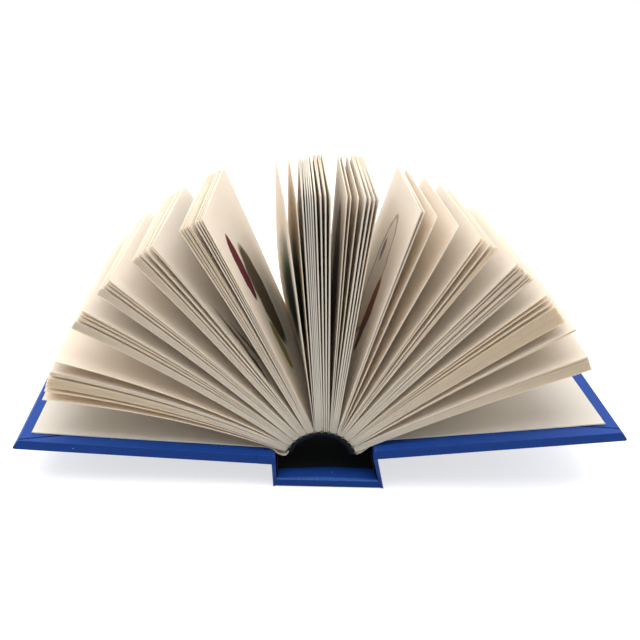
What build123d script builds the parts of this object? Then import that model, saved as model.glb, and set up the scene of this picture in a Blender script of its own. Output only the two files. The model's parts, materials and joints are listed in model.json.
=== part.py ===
from build123d import *
from math import cos, degrees, radians, sin
import os

# A small thick hardback that stands on its spine, opened wide. Millimetres and degrees.
# X runs across the opening, Y from tail (-Y) to head (+Y), Z up.
# The origin is on the ground under the middle of the spine.

# Case
COVER_HEIGHT = 60.0  # head to tail
COVER_WIDTH = 82.4  # joint to fore-edge, along the outer face
COVER_BOARD = 2.6
SPINE_BOARD = 2.6
CLOTH = 0.3
EDGE_ROUND = 0.9  # rounding of the covered board edges
FORE_EDGE_LEAN = 2.0  # the outer face reaches this much further than the inner one
TURN_IN = 9.0  # cloth folded over onto the inner faces
MITRE_SLIT = 0.25  # open seam where two turn-ins meet at a corner
PASTEDOWN = 0.2
PASTEDOWN_MARGIN = 4.0  # cloth left bare round the pastedown
RECESS_CLEARANCE = 0.2  # pastedown filler to the turn-ins

# Joints, as the book stands: cloth walls from the spine's long edges up to the covers
JOINT_EASE = 0.4  # spine beyond the leaves and the two covers, at each side
WALL = 1.1  # cloth and its turn-in, folded together
WALL_SINGLE = 0.5  # cloth and lining paper, between the turn-ins
FRONT_RISE = 8.0
FRONT_LEAN = 0.8  # outwards, over the rise
FRONT_TILT = 2.5  # cover above level
FRONT_BEND = 2.0  # radius over which the inner face runs down into the joint
BACK_RISE = 10.9
BACK_LEAN = -2.8
BACK_TILT = 6.6
BACK_BEND = 1.3
JOINT_CLEARANCE = 0.4  # cover to wall, so that the cover can turn

# Text block: gatherings sewn side by side and arched over a hollow back
SQUARE = 3.0  # cover beyond the leaves
LEAF = 0.12
LEAF_WIDTH = 77.6
ARCH_HALF_ANGLE = 68.0
ARCH_TURN = -1.0  # the arch's middle, off upright
ARCH_SHIFT = -1.1  # the arch's centre, off the middle between the covers
SHOULDER_DROP = 1.35  # the arch's ends, under the covers' inner edges
FOLD_DEPTH = 0.8  # where the leaves part, outside the arch
BACK_ROUND = 0.15  # rounding of each gathering's folded back
SHEAF = 2  # leaves drawn as one
PARTING = 0.04  # floor of the slit between two sheaves
GLUE = 0.05
LINING = 1.6  # hollow tube and mull together
LINING_SETBACK = 0.6  # lining short of the leaves at head and tail
HINGE_PAPER = 0.25
HINGE_CLEARANCE = 0.5  # hinge paper to the cover, so that the cover can turn

# For each gathering, how far its leaves bow upwards, how far they stand out beyond the others,
# and the tip angles of its sheaves, off upright, from front to back, as runs of
# (sheaves, first angle, last angle).
GATHERINGS = [
    (2.6, 0, [(1, -76.5, -76.5), (1, -74.3, -74.3), (4, -73.4, -71.9), (3, -70.7, -69.9), (1, -67.5, -67.5)]),
    (1.5, 0, [(6, -59.3, -57.7), (4, -57.0, -55.0)]),
    (1.0, 0, [(6, -50.5, -48.9), (4, -48.4, -46.9)]),
    (0.8, 0, [(4, -41.2, -40.1), (6, -39.6, -36.2)]),
    (0.5, 0, [(10, -30.4, -25.5)]),
    (0.0, 0, [(1, -10.2, -10.2), (1, -8.1, -8.1), (8, -6.9, -5.2)]),
    (0.0, 0, [(7, -4.9, -3.5), (3, -2.6, -1.9)]),
    (0.0, 0, [(10, 1.3, 7.3)]),
    (-0.3, 0, [(3, 15.4, 16.1), (1, 18.7, 18.7), (1, 23.2, 23.2), (2, 28.2, 28.8), (3, 31.0, 32.2)]),
    (-0.5, 0, [(5, 37.2, 39.3), (5, 40.2, 41.8)]),
    (-0.7, 0, [(1, 46.2, 46.2), (1, 47.2, 47.2), (1, 48.4, 48.4), (7, 49.6, 53.6)]),
    (-0.9, 1.8, [(2, 56.0, 56.4), (8, 62.8, 65.8)]),
]

# Worked out from the sizes above
COVER_THICKNESS = COVER_BOARD + 2 * CLOTH
SPINE_THICKNESS = SPINE_BOARD + 2 * CLOTH
SHEAVES = sum(count for _, _, runs in GATHERINGS for count, _, _ in runs)
BLOCK_WIDTH = SHEAVES * SHEAF * LEAF
SPINE_WIDTH = BLOCK_WIDTH + 2 * (COVER_THICKNESS + JOINT_EASE)
PAGE_HEIGHT = COVER_HEIGHT - 2 * SQUARE
ARCH_RADIUS = BLOCK_WIDTH / radians(2 * ARCH_HALF_ANGLE)
TIP_RADIUS = ARCH_RADIUS + LEAF_WIDTH


def prism(sketch, length):
    """Stands an XY sketch up in the XZ plane and runs it along Y, half to each side."""
    return extrude(Plane.XZ * sketch, amount=length / 2, both=True)


def joint_axis(side, rise, lean):
    """Top outer edge of a joint wall, where its cover turns. side is -1 for the front."""
    return Vector(side * (SPINE_WIDTH / 2 + lean), rise)


def wall_point(side, rise, lean, depth, height):
    """Point of a joint wall's cross-section, a depth in from its outer face at a height."""
    return Vector(side * (SPINE_WIDTH / 2 + lean * height / rise - depth), height)


def cover_place(side, rise, lean, tilt):
    """Location that carries a cover's own frame (X to the fore-edge, Z up) to its place."""
    axis = joint_axis(side, rise, lean)
    turned = Location((axis.X, 0, axis.Y), (0, -side * tilt, 0))
    return turned * Location((-side * WALL, 0, JOINT_CLEARANCE))


def cover_point(side, rise, lean, tilt, x, z):
    """A point of a cover's cross-section, as (X, Z) in the book's frame."""
    place = cover_place(side, rise, lean, tilt) * Location((side * x, 0, z))
    return Vector(place.position.X, place.position.Z)


def cover_slab(bend, inset):
    """The covered board's outer form, or what lies inside it by an inset, in the cover's own frame."""
    top_width = COVER_WIDTH - FORE_EDGE_LEAN
    outline = Polyline(
        (0, 0), (COVER_WIDTH, 0), (top_width, COVER_THICKNESS), (0, COVER_THICKNESS), close=True
    )
    face = make_face(outline)
    if inset:
        face = offset(face, amount=-inset, kind=Kind.INTERSECTION)
    joint_corner = face.vertices().sort_by(Axis.X)[:2].sort_by(Axis.Y)[-1]
    face = fillet(joint_corner, bend - inset)
    slab = prism(face, COVER_HEIGHT - 2 * inset)
    long_edges = slab.edges().filter_by(Axis.X) + slab.edges().filter_by(Axis.Y)
    return fillet(long_edges, EDGE_ROUND - inset)


def turn_in_window():
    """Space between the turn-ins, open to the joint, down to the cloth of the outer face."""
    length = COVER_WIDTH - FORE_EDGE_LEAN - TURN_IN
    size = (length + EDGE_ROUND, COVER_HEIGHT - 2 * TURN_IN, COVER_THICKNESS)
    corner = Location((-EDGE_ROUND, 0, CLOTH))
    return corner * Box(*size, align=(Align.MIN, Align.CENTER, Align.MIN))


def mitre_slits():
    """Diagonal seams at the two outer corners, through the folded-over cloth into the window."""
    slits = []
    length = (TURN_IN - EDGE_ROUND) * 2**0.5 + MITRE_SLIT
    for end in (-1, 1):
        slit = Box(length, MITRE_SLIT, CLOTH, align=(Align.MIN, Align.CENTER, Align.MIN))
        corner = (COVER_WIDTH - FORE_EDGE_LEAN - EDGE_ROUND, end * (COVER_HEIGHT / 2 - EDGE_ROUND))
        place = Location((*corner, COVER_THICKNESS - CLOTH), (0, 0, 180 + end * 45))
        slits.append(place * slit)
    return slits


def cover_cloth(bend):
    """Cloth round a cover board: outer face, edges and turn-ins."""
    return cover_slab(bend, 0) - cover_slab(bend, CLOTH) - turn_in_window() - mitre_slits()


def pastedown(bend):
    """Endpaper leaf glued inside a cover, with the filler that levels the turn-ins."""
    inner = bend + CLOTH
    outer = COVER_WIDTH - FORE_EDGE_LEAN - PASTEDOWN_MARGIN
    sheet = Location((inner, 0, COVER_THICKNESS)) * Box(
        outer - inner,
        COVER_HEIGHT - 2 * PASTEDOWN_MARGIN,
        PASTEDOWN,
        align=(Align.MIN, Align.CENTER, Align.MIN),
    )
    filled = COVER_WIDTH - FORE_EDGE_LEAN - TURN_IN - RECESS_CLEARANCE
    filler = Location((inner, 0, COVER_THICKNESS - CLOTH)) * Box(
        filled - inner,
        COVER_HEIGHT - 2 * (TURN_IN + RECESS_CLEARANCE),
        CLOTH,
        align=(Align.MIN, Align.CENTER, Align.MIN),
    )
    return sheet + filler


def cover(side, rise, lean, tilt, bend):
    """Board, cloth and pastedown of one cover, in place."""
    place = cover_place(side, rise, lean, tilt)
    pieces = [cover_slab(bend, CLOTH), cover_cloth(bend), pastedown(bend)]
    if side < 0:
        pieces = [mirror(piece, Plane.YZ) for piece in pieces]
    return [place * piece for piece in pieces]


def spine_slab(inset):
    """Form of the covered spine board between the joint walls, or what lies inside it by an inset."""
    outline = Polyline(
        wall_point(-1, FRONT_RISE, FRONT_LEAN, WALL, 0),
        wall_point(1, BACK_RISE, BACK_LEAN, WALL, 0),
        wall_point(1, BACK_RISE, BACK_LEAN, WALL, SPINE_THICKNESS),
        wall_point(-1, FRONT_RISE, FRONT_LEAN, WALL, SPINE_THICKNESS),
        close=True,
    )
    face = make_face(outline)
    if inset:
        face = offset(face, amount=-inset, kind=Kind.INTERSECTION)
    slab = prism(face, COVER_HEIGHT - 2 * inset)
    return fillet(slab.edges().filter_by(Axis.X), EDGE_ROUND - inset)


def joint_wall(side, rise, lean):
    """Cloth from the spine's long edge up to the cover, thick where head and tail are turned in."""
    def strip(outer, inner, bottom):
        corners = [
            wall_point(side, rise, lean, outer, bottom),
            wall_point(side, rise, lean, outer, rise),
            wall_point(side, rise, lean, inner, rise),
            wall_point(side, rise, lean, inner, bottom),
        ]
        return make_face(Polyline(*corners, close=True))

    turned_in = prism(strip(0, WALL, 0), COVER_HEIGHT)
    return turned_in - prism(strip(WALL_SINGLE, WALL, SPINE_THICKNESS), COVER_HEIGHT - 2 * TURN_IN)


def spine_cloth():
    """Cloth under and round the spine board, with both joint walls."""
    window = Location((0, 0, SPINE_THICKNESS)) * Box(
        SPINE_WIDTH - 2 * (WALL + CLOTH), COVER_HEIGHT - 2 * TURN_IN, 2 * CLOTH
    )
    sleeve = spine_slab(0) - spine_slab(CLOTH) - window
    return sleeve + joint_wall(-1, FRONT_RISE, FRONT_LEAN) + joint_wall(1, BACK_RISE, BACK_LEAN)


def arch_centre():
    """Centre of the arched back, set from the inner top edges of the two covers."""
    front = cover_point(-1, FRONT_RISE, FRONT_LEAN, FRONT_TILT, 0, COVER_THICKNESS)
    back = cover_point(1, BACK_RISE, BACK_LEAN, BACK_TILT, 0, COVER_THICKNESS)
    middle = (front + back) / 2
    shoulder = ARCH_RADIUS * cos(radians(ARCH_HALF_ANGLE))
    return Vector(middle.X + ARCH_SHIFT, middle.Y - SHOULDER_DROP - shoulder)


CENTRE = arch_centre()


def polar(angle, radius):
    """Point at an angle off upright round the arch's centre."""
    return Vector(CENTRE.X + radius * sin(radians(angle)), CENTRE.Y + radius * cos(radians(angle)))


def spread(run):
    """Evenly spaced angles, given as (count, first, last)."""
    count, first, last = run
    if count == 1:
        return [first]
    return [first + (last - first) * i / (count - 1) for i in range(count)]


def bowed_side(start, end, bow):
    """One face of a sheaf, bowed towards the front for a negative bow and to the back otherwise."""
    run = end - start
    middle = (start + end) / 2
    across = Vector(-run.Y, run.X).normalized()
    if not bow:
        return Line(start, end)
    return ThreePointArc(start, middle - across * bow, end)


def pages_outline():
    """Closed outline of the fanned leaves: each sheaf out and back, then the gatherings' rounded backs."""
    sheaves = [
        (tip, bow, reach)
        for bow, reach, runs in GATHERINGS
        for run in runs
        for tip in spread(run)
    ]
    first = ARCH_TURN - ARCH_HALF_ANGLE
    last = ARCH_TURN + ARCH_HALF_ANGLE
    step = (last - first) / len(sheaves)
    half_tip = SHEAF * LEAF / 2
    half_slit = degrees(PARTING / 2 / ARCH_RADIUS)

    def root(index, turn):
        """Foot of a sheaf's face, on the floor of the slit beside it."""
        return polar(first + index * step + turn * half_slit, ARCH_RADIUS + FOLD_DEPTH)

    seam_radius = ARCH_RADIUS + BACK_ROUND
    edges = [Line(polar(first + half_slit, seam_radius), root(0, 1))]
    for index, (tip, bow, reach) in enumerate(sheaves):
        end = polar(tip, TIP_RADIUS + reach)
        across = Vector(cos(radians(tip)), -sin(radians(tip))) * half_tip
        if index:
            edges.append(Line(root(index, -1), root(index, 1)))
        edges.append(bowed_side(root(index, 1), end - across, bow))
        edges.append(Line(end - across, end + across))
        edges.append(bowed_side(root(index + 1, -1), end + across, bow))
    edges.append(Line(root(len(sheaves), -1), polar(last - half_slit, seam_radius)))
    seams = spread((len(GATHERINGS) + 1, last - half_slit, first + half_slit))
    for seam, next_seam in zip(seams, seams[1:]):
        back = polar((seam + next_seam) / 2, ARCH_RADIUS)
        edges.append(ThreePointArc(polar(seam, seam_radius), back, polar(next_seam, seam_radius)))
    return edges


def pages():
    """All leaves as one solid, fanned out from the sewn folds on the arched back."""
    return prism(make_face(pages_outline()), PAGE_HEIGHT)


def spine_lining():
    """Dark strip glued along the backs of the gatherings."""
    outer = ARCH_RADIUS - GLUE
    inner = outer - LINING
    first = ARCH_TURN - ARCH_HALF_ANGLE
    last = ARCH_TURN + ARCH_HALF_ANGLE
    outline = [
        ThreePointArc(polar(first, outer), polar(ARCH_TURN, outer), polar(last, outer)),
        Line(polar(last, outer), polar(last, inner)),
        ThreePointArc(polar(last, inner), polar(ARCH_TURN, inner), polar(first, inner)),
        Line(polar(first, inner), polar(first, outer)),
    ]
    return prism(make_face(outline), PAGE_HEIGHT - 2 * LINING_SETBACK)


def hinge_paper(side, rise, lean, tilt, bend):
    """Strip of endpaper and mull from the text block's shoulder towards the bend in the cover's cloth."""
    shoulder = ARCH_TURN + side * ARCH_HALF_ANGLE
    away = Vector(side * cos(radians(shoulder)), -side * sin(radians(shoulder)))
    level = COVER_THICKNESS - bend / 2
    start = polar(shoulder, ARCH_RADIUS) + away * GLUE
    end = cover_point(side, rise, lean, tilt, -HINGE_CLEARANCE, level + HINGE_PAPER)
    below_end = cover_point(side, rise, lean, tilt, -HINGE_CLEARANCE, level)
    outline = Polyline(start, end, below_end, start + away * HINGE_PAPER, close=True)
    return prism(make_face(outline), PAGE_HEIGHT)


def write(name, piece):
    """Writes one sub-part to its own STEP file."""
    piece.label = name
    export_step(piece, f"parts/{name}.step")


def main():
    os.makedirs("parts", exist_ok=True)
    write("spine_board", spine_slab(CLOTH))
    write("spine_cloth", spine_cloth())
    front = (-1, FRONT_RISE, FRONT_LEAN, FRONT_TILT)
    back = (1, BACK_RISE, BACK_LEAN, BACK_TILT)
    for name, joint, bend in (("front", front, FRONT_BEND), ("back", back, BACK_BEND)):
        board, cloth, leaf = cover(*joint, bend)
        write(f"{name}_board", board)
        write(f"{name}_cover_cloth", cloth)
        write(f"{name}_pastedown", leaf)
        write(f"{name}_hinge_paper", hinge_paper(*joint, bend))
    write("spine_lining", spine_lining())
    write("pages", pages())


main()
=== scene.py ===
import json
import random
from math import cos, radians, sin

import bmesh
import bpy
from bpy.props import FloatProperty, FloatVectorProperty, PointerProperty
from mathutils import Matrix, Vector, noise


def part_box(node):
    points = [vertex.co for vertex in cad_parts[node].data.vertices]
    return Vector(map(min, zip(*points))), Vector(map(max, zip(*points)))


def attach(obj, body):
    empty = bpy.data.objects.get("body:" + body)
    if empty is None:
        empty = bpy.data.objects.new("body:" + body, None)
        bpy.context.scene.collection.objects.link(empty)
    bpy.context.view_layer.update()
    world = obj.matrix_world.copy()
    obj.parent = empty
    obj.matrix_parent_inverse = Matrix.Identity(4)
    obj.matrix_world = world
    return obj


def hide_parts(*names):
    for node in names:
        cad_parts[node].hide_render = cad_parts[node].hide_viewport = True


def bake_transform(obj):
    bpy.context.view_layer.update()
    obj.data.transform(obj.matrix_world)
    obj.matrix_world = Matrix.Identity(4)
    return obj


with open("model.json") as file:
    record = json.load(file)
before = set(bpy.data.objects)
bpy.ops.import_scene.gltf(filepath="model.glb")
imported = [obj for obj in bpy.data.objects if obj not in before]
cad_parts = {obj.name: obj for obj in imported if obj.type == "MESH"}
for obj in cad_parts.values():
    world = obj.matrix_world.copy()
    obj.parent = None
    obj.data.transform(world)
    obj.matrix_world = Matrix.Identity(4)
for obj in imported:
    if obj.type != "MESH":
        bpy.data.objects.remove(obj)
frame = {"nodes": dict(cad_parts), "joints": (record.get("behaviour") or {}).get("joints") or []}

bl_info = {
    "name": "Open Book",
    "version": (1, 0, 0),
    "blender": (4, 5, 0),
    "location": "View3D > Sidebar > Book",
    "description": "Dresses a small thick hardback that stands open on its spine",
    "category": "Object",
}

MM = 0.001
FRONT, BACK = -1, 1
SIDE_NAMES = {FRONT: "front", BACK: "back"}
HINGES = {joint["name"]: Vector(joint["pos_m"]) for joint in frame["joints"]}

# The fan, gathering by gathering from front to back: how far the leaves bow upwards, how much more
# the head ends of the first leaves bulge, how far the leaves stand out beyond the others (all in
# mm), and the leaves as sheaves of (leaves, tip angle of the first, tip angle of the last, turn of
# the head end), in degrees off upright.
FAN = [
    (2.6, 0.0, 0, [
        (2, -76.5, -76.4, 1.6), (2, -74.5, -74.3, 1.6), (8, -73.4, -71.5, 1.6), (6, -70.7, -70.0, 1.6),
        (2, -67.6, -67.5, 1.8),
    ]),
    (1.5, 0.0, 0, [
        (12, -59.4, -57.7, 4.0), (3, -57.0, -56.6, 4.3), (2, -56.0, -55.8, 4.5), (3, -55.3, -55.0, 4.7),
    ]),
    (1.0, 0.0, 0, [
        (12, -50.5, -48.9, 4.0), (3, -48.3, -48.0, 4.2), (2, -47.5, -47.3, 4.3), (3, -47.0, -46.8, 4.4),
    ]),
    (0.8, 0.0, 0, [
        (10, -41.1, -39.5, 2.7), (3, -39.0, -38.7, 3.2), (3, -37.8, -37.5, 3.4), (4, -36.5, -36.1, 3.6),
    ]),
    (0.5, 0.0, 0, [
        (3, -30.3, -30.0, 2.8), (2, -29.7, -29.5, 2.8), (3, -29.2, -28.9, 2.7), (3, -28.5, -28.1, 2.7),
        (3, -27.1, -26.9, 2.6), (2, -26.5, -26.4, 2.5), (2, -26.0, -25.9, 2.5), (2, -25.6, -25.5, 2.4),
    ]),
    (0.0, -5.0, 0, [
        (2, -10.1, -10.03, -1.5), (2, -7.9, -7.83, -0.8), (4, -6.85, -6.64, 0.6),
        (3, -6.25, -6.11, 0.6), (3, -5.8, -5.66, 0.5), (3, -5.4, -5.26, 0.5), (3, -5.0, -4.86, 0.5),
    ]),
    (0.0, 0.0, 0, [
        (4, -4.45, -4.24, 0.4), (4, -3.5, -3.29, 0.4), (4, -2.6, -2.39, 0.4), (4, -1.7, -1.49, 0.4),
    ]),
    (0.0, 0.0, 0, [
        (2, 1.4, 1.48, 0.75), (2, 2.1, 2.18, 0.7), (2, 3.5, 3.58, 0.6), (4, 4.75, 4.96, 0.5),
        (4, 5.6, 5.81, 0.5), (3, 6.45, 6.59, 0.4), (3, 7.2, 7.34, 0.4),
    ]),
    (-0.3, 0.0, 0, [
        (3, 15.4, 15.6, 0.2), (3, 16.0, 16.2, 0.0), (2, 18.7, 18.8, -1.0), (2, 23.2, 23.3, -1.1),
        (2, 28.2, 28.3, -2.0), (2, 28.8, 28.95, -2.0), (2, 30.4, 30.5, -2.0), (4, 31.4, 32.1, -2.0),
    ]),
    (-0.5, 0.0, 0, [
        (3, 37.2, 37.4, -2.2), (2, 38.0, 38.1, -2.2), (5, 38.7, 39.3, -2.2), (4, 40.1, 40.5, -2.2),
        (2, 41.0, 41.1, -2.2), (4, 41.5, 41.9, -2.2),
    ]),
    (-0.7, 0.0, 0, [
        (2, 46.3, 46.4, -2.0), (2, 47.2, 47.3, -2.0), (2, 48.4, 48.6, -2.0), (14, 49.6, 53.6, -2.0),
    ]),
    (-0.9, 0.0, 1.8, [
        (2, 56.0, 56.1, -1.5), (2, 56.3, 56.45, -1.5), (4, 62.8, 63.2, -1.5), (12, 63.6, 66.0, -1.5),
    ]),
]

# Mitre seams at the tail and endpapers, in mm in a cover's own frame (X to the fore-edge, Y to the
# head). A seam runs from the cover's corner to its end under the endpaper. An endpaper has a tail
# edge, a head edge, and its fore-edge at the tail and at the head.
MITRES = {FRONT: ((80.4, -29.3), (68.4, -25.5)), BACK: ((81.1, -27.6), (68.3, -24.1))}
ENDPAPERS = {FRONT: (-25.4, 25.4, 77.2, 76.8), BACK: (-24.5, 25.0, 76.6, 75.8)}

# Share of the light that comes through the cut edges of paper: less than through its faces.
EDGE_THROUGH = 0.12

# A vertex this near to a plane counts as on it, and a cut this near to a vertex goes through it.
ON_PLANE = 0.01 * MM
WELD = 0.001 * MM


def linear(hex_colour):
    """An sRGB hex colour as the linear RGBA that shaders work in."""
    channels = [int(hex_colour[i:i + 2], 16) / 255 for i in (1, 3, 5)]
    return tuple(c / 12.92 if c <= 0.04045 else ((c + 0.055) / 1.055) ** 2.4 for c in channels) + (1.0,)


def colour_property(name, description, hex_colour):
    """A colour that a user can change, kept in linear values."""
    return FloatVectorProperty(
        name=name,
        description=description,
        subtype="COLOR",
        size=4,
        min=0.0,
        max=1.0,
        default=linear(hex_colour),
    )


def length_property(name, description, millimetres):
    """A length that a user can change, kept in metres."""
    return FloatProperty(
        name=name, description=description, unit="LENGTH", precision=4, default=millimetres * MM
    )


def angle_property(name, description, value):
    """An angle that a user can change, given here in degrees."""
    return FloatProperty(name=name, description=description, subtype="ANGLE", default=radians(value))


def place_property(name, description, place):
    """A place that a user can change, in metres."""
    return FloatVectorProperty(
        name=name, description=description, subtype="TRANSLATION", size=3, default=place
    )


class BookCaseSettings(bpy.types.PropertyGroup):
    """Sizes and colours of the covers, spine and joints."""

    height: length_property("Height", "Covers from tail to head", 60.0)
    width: length_property("Width", "Cover from joint to fore-edge, along its outer face", 82.4)
    thickness: length_property("Thickness", "Board with its cloth", 3.2)
    fore_edge_lean: length_property("Fore-edge Lean", "Outer face beyond the inner one", 2.0)
    fore_edge_round: length_property("Fore-edge Rounding", "Rounding between fore-edge and outer face", 1.1)
    edge_round: length_property("Edge Rounding", "Rounding of the long edges", 0.9)
    front_bend: length_property("Front Bend", "Rounding where the front cover runs into its joint", 2.0)
    back_bend: length_property("Back Bend", "Rounding where the back cover runs into its joint", 1.3)
    front_tilt: angle_property("Front Tilt", "Front cover above level", 2.5)
    back_tilt: angle_property("Back Tilt", "Back cover above level", 6.6)
    spine_width: length_property("Spine Width", "Spine across both joint walls", 36.0)
    wall: length_property("Joint Wall", "Cloth and its turn-in, folded together", 1.1)
    sheet: length_property("Joint Sheet", "Cloth of a joint with its lining paper", 0.5)
    clearance: length_property("Joint Clearance", "Cover above its joint wall", 0.4)
    mitre_width: length_property("Mitre Width", "Open seam between two turn-ins", 0.6)
    mitre_depth: length_property("Mitre Depth", "Seam below the turn-ins", 0.28)
    crease_place: length_property("Crease Place", "Crease in the front cover off its joint", 6.2)
    crease_depth: length_property("Crease Depth", "Crease below the cloth", 0.2)
    cloth: colour_property("Cloth", "Blue book cloth", "#153F8D")
    # Paler cloth on rounded edges, partly rubbed wear and partly a painted highlight.
    worn_and_highlit_cloth: colour_property("Worn Cloth", "Cloth where its edges are rubbed", "#4A73BC")
    # Painted shade for the open mitre seams.
    seam: colour_property("Seam", "Shade in an open mitre seam", "#0A1230")
    dust: colour_property("Dust", "Specks of dust on the cloth", "#A9B8D8")
    board: colour_property("Board", "Grey binder's board", "#8C857A")
    # Near black: painted shade for the hollow inside the spine.
    lining: colour_property("Lining", "Dark paper inside the spine", "#0B0D11")
    paste: colour_property("Pasted Mull", "Mull black with paste", "#0C0E12")
    mull: colour_property("Mull", "Dark navy mull over the folds", "#0E172C")
    thread: colour_property("Thread", "Frayed mull and thread ends", "#8E8C84")


class BookBlockSettings(bpy.types.PropertyGroup):
    """Sizes and colours of the leaves."""

    height: length_property("Leaf Height", "Leaves from tail to head", 54.0)
    leaf_width: length_property("Leaf Width", "Leaf from its fold to its fore-edge", 77.6)
    leaf: length_property("Leaf", "Thickness of one leaf as drawn", 0.10)
    arch_half_angle: angle_property("Arch Half Angle", "Half of the arched back", 68.0)
    arch_turn: angle_property("Arch Turn", "Middle of the arch off upright", -1.0)
    fold_round: length_property("Fold Rounding", "Outer leaves short of the middle of a fold", 0.45)
    endpaper: length_property("Endpaper", "Endpaper glued inside a cover", 0.35)
    paper: colour_property("Paper", "Cream uncoated paper", "#FEFCF7")
    glow: colour_property("Paper Glow", "Light that comes through a leaf", "#FFF1D6")
    edge: colour_property("Trimmed Edge", "Cut edges of the leaves", "#F6F0E2")


class BookStageSettings(bpy.types.PropertyGroup):
    """Camera, floor and light."""

    camera_place: place_property("Camera Place", "Camera in the book's frame", (-0.025103, -0.2687, 0.16475))
    camera_pitch: angle_property("Camera Pitch", "Camera below level", 23.735)
    camera_yaw: angle_property("Camera Yaw", "Camera off straight ahead", -4.473)
    camera_roll: angle_property("Camera Roll", "Camera off upright", 3.809)
    lens: FloatProperty(name="Lens", description="Focal length in millimetres", default=49.5)
    lamp_power: FloatProperty(name="Lamp Power", description="Soft lamp above", subtype="POWER", default=7.4)
    lamp_place: place_property("Lamp Place", "Lamp in the book's frame", (-0.14, 0.15, 0.8))
    lamp_turn: angle_property("Lamp Turn", "Lamp off straight down, below 0 towards the back cover", -10.0)
    lamp_size: length_property("Lamp Size", "Side of the square lamp", 1200.0)
    room_light: FloatProperty(name="Room Light", description="Even light from sides and back", default=1.85)
    front_light: FloatProperty(name="Front Light", description="Weaker light from the tail end", default=0.15)
    floor: colour_property("Floor", "Plain pale floor", "#C0C0C0")
    floor_glow: FloatProperty(name="Floor Glow", description="Light added to the floor in view", default=0.66)


# Making materials


def add_node(tree, kind, settings=None, inputs=None):
    """Adds a node with its settings. An input is a value, or an output socket to link from. Sockets
    that share a name go by number: a Mix node's factor is 0, and its two colours are 6 and 7."""
    node = tree.nodes.new(kind)
    for name, value in (settings or {}).items():
        setattr(node, name, value)
    for socket, value in (inputs or {}).items():
        if isinstance(value, bpy.types.NodeSocket):
            tree.links.new(value, node.inputs[socket])
        else:
            node.inputs[socket].default_value = value
    return node


def new_material(name):
    """An empty node material, and its tree."""
    material = bpy.data.materials.get(name)
    if material:
        bpy.data.materials.remove(material)
    material = bpy.data.materials.new(name)
    material.use_nodes = True
    material.node_tree.nodes.clear()
    return material, material.node_tree


def book_cloth(case):
    """Filled book cloth: starch-filled cotton, calendered smooth. A soft sheen over a fine close grain,
    slightly uneven in tone, with paler rounded edges that are partly rubbed and partly a painted
    highlight, painted shade in open seams, and a few specks of dust."""
    material, tree = new_material("book_cloth_filled")
    place = add_node(tree, "ShaderNodeTexCoord").outputs["Object"]
    # Threads are about 0.25 mm apart, drawn at 0.5 mm so that the grain shows.
    grain = add_node(
        tree, "ShaderNodeTexNoise", inputs={"Vector": place, "Scale": 1 / (0.5 * MM), "Detail": 2.0}
    )
    # The filling takes the dye unevenly over some 6 mm.
    cloud = add_node(
        tree, "ShaderNodeTexNoise", inputs={"Vector": place, "Scale": 1 / (6 * MM), "Detail": 3.0}
    )
    tone = add_node(
        tree, "ShaderNodeMapRange", inputs={"Value": cloud.outputs["Fac"], "To Min": 0.88, "To Max": 1.12}
    )
    dyed = add_node(
        tree,
        "ShaderNodeMix",
        {"data_type": "RGBA", "blend_type": "MULTIPLY"},
        {0: 1.0, 6: tuple(case.cloth), 7: tone.outputs["Result"]},
    )
    # Rounded edges turn paler: partly rubbed wear, partly a painted highlight along them.
    rubbed_and_highlit = add_node(tree, "ShaderNodeAttribute", {"attribute_name": "rubbed_and_highlit"})
    grain_patches = add_node(
        tree,
        "ShaderNodeMapRange",
        inputs={"Value": grain.outputs["Fac"], "From Min": 0.35, "From Max": 0.65, "To Min": 0.5},
    )
    patchy = add_node(
        tree,
        "ShaderNodeMath",
        {"operation": "MULTIPLY"},
        {0: rubbed_and_highlit.outputs["Fac"], 1: grain_patches.outputs["Result"]},
    )
    worn_and_highlit = add_node(
        tree,
        "ShaderNodeMix",
        {"data_type": "RGBA"},
        {0: patchy.outputs["Value"], 6: dyed.outputs[2], 7: tuple(case.worn_and_highlit_cloth)},
    )
    # Painted shade: an open seam between two turn-ins is coloured dark, as the shade down to the board.
    seam = add_node(tree, "ShaderNodeAttribute", {"attribute_name": "seam"})
    seamed = add_node(
        tree,
        "ShaderNodeMix",
        {"data_type": "RGBA"},
        {0: seam.outputs["Fac"], 6: worn_and_highlit.outputs[2], 7: tuple(case.seam)},
    )
    # Dust specks of about 0.15 mm, one in some 5 mm.
    dust = add_node(tree, "ShaderNodeTexVoronoi", inputs={"Vector": place, "Scale": 1 / (5 * MM)})
    speck = add_node(
        tree, "ShaderNodeMath", {"operation": "LESS_THAN"}, {0: dust.outputs["Distance"], 1: 0.03}
    )
    dusty = add_node(
        tree,
        "ShaderNodeMix",
        {"data_type": "RGBA"},
        {0: speck.outputs["Value"], 6: seamed.outputs[2], 7: tuple(case.dust)},
    )
    rough = add_node(
        tree, "ShaderNodeMapRange", inputs={"Value": grain.outputs["Fac"], "To Min": 0.38, "To Max": 0.56}
    )
    bump = add_node(
        tree,
        "ShaderNodeBump",
        inputs={"Strength": 0.35, "Distance": 0.05 * MM, "Height": grain.outputs["Fac"]},
    )
    cloth = add_node(
        tree,
        "ShaderNodeBsdfPrincipled",
        inputs={
            "Base Color": dusty.outputs[2],
            "Roughness": rough.outputs["Result"],
            "Normal": bump.outputs["Normal"],
            "IOR": 1.46,
            "Specular IOR Level": 0.14,
            "Sheen Weight": 0.01,
        },
    )
    add_node(tree, "ShaderNodeOutputMaterial", inputs={"Surface": cloth.outputs["BSDF"]})
    return material


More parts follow.
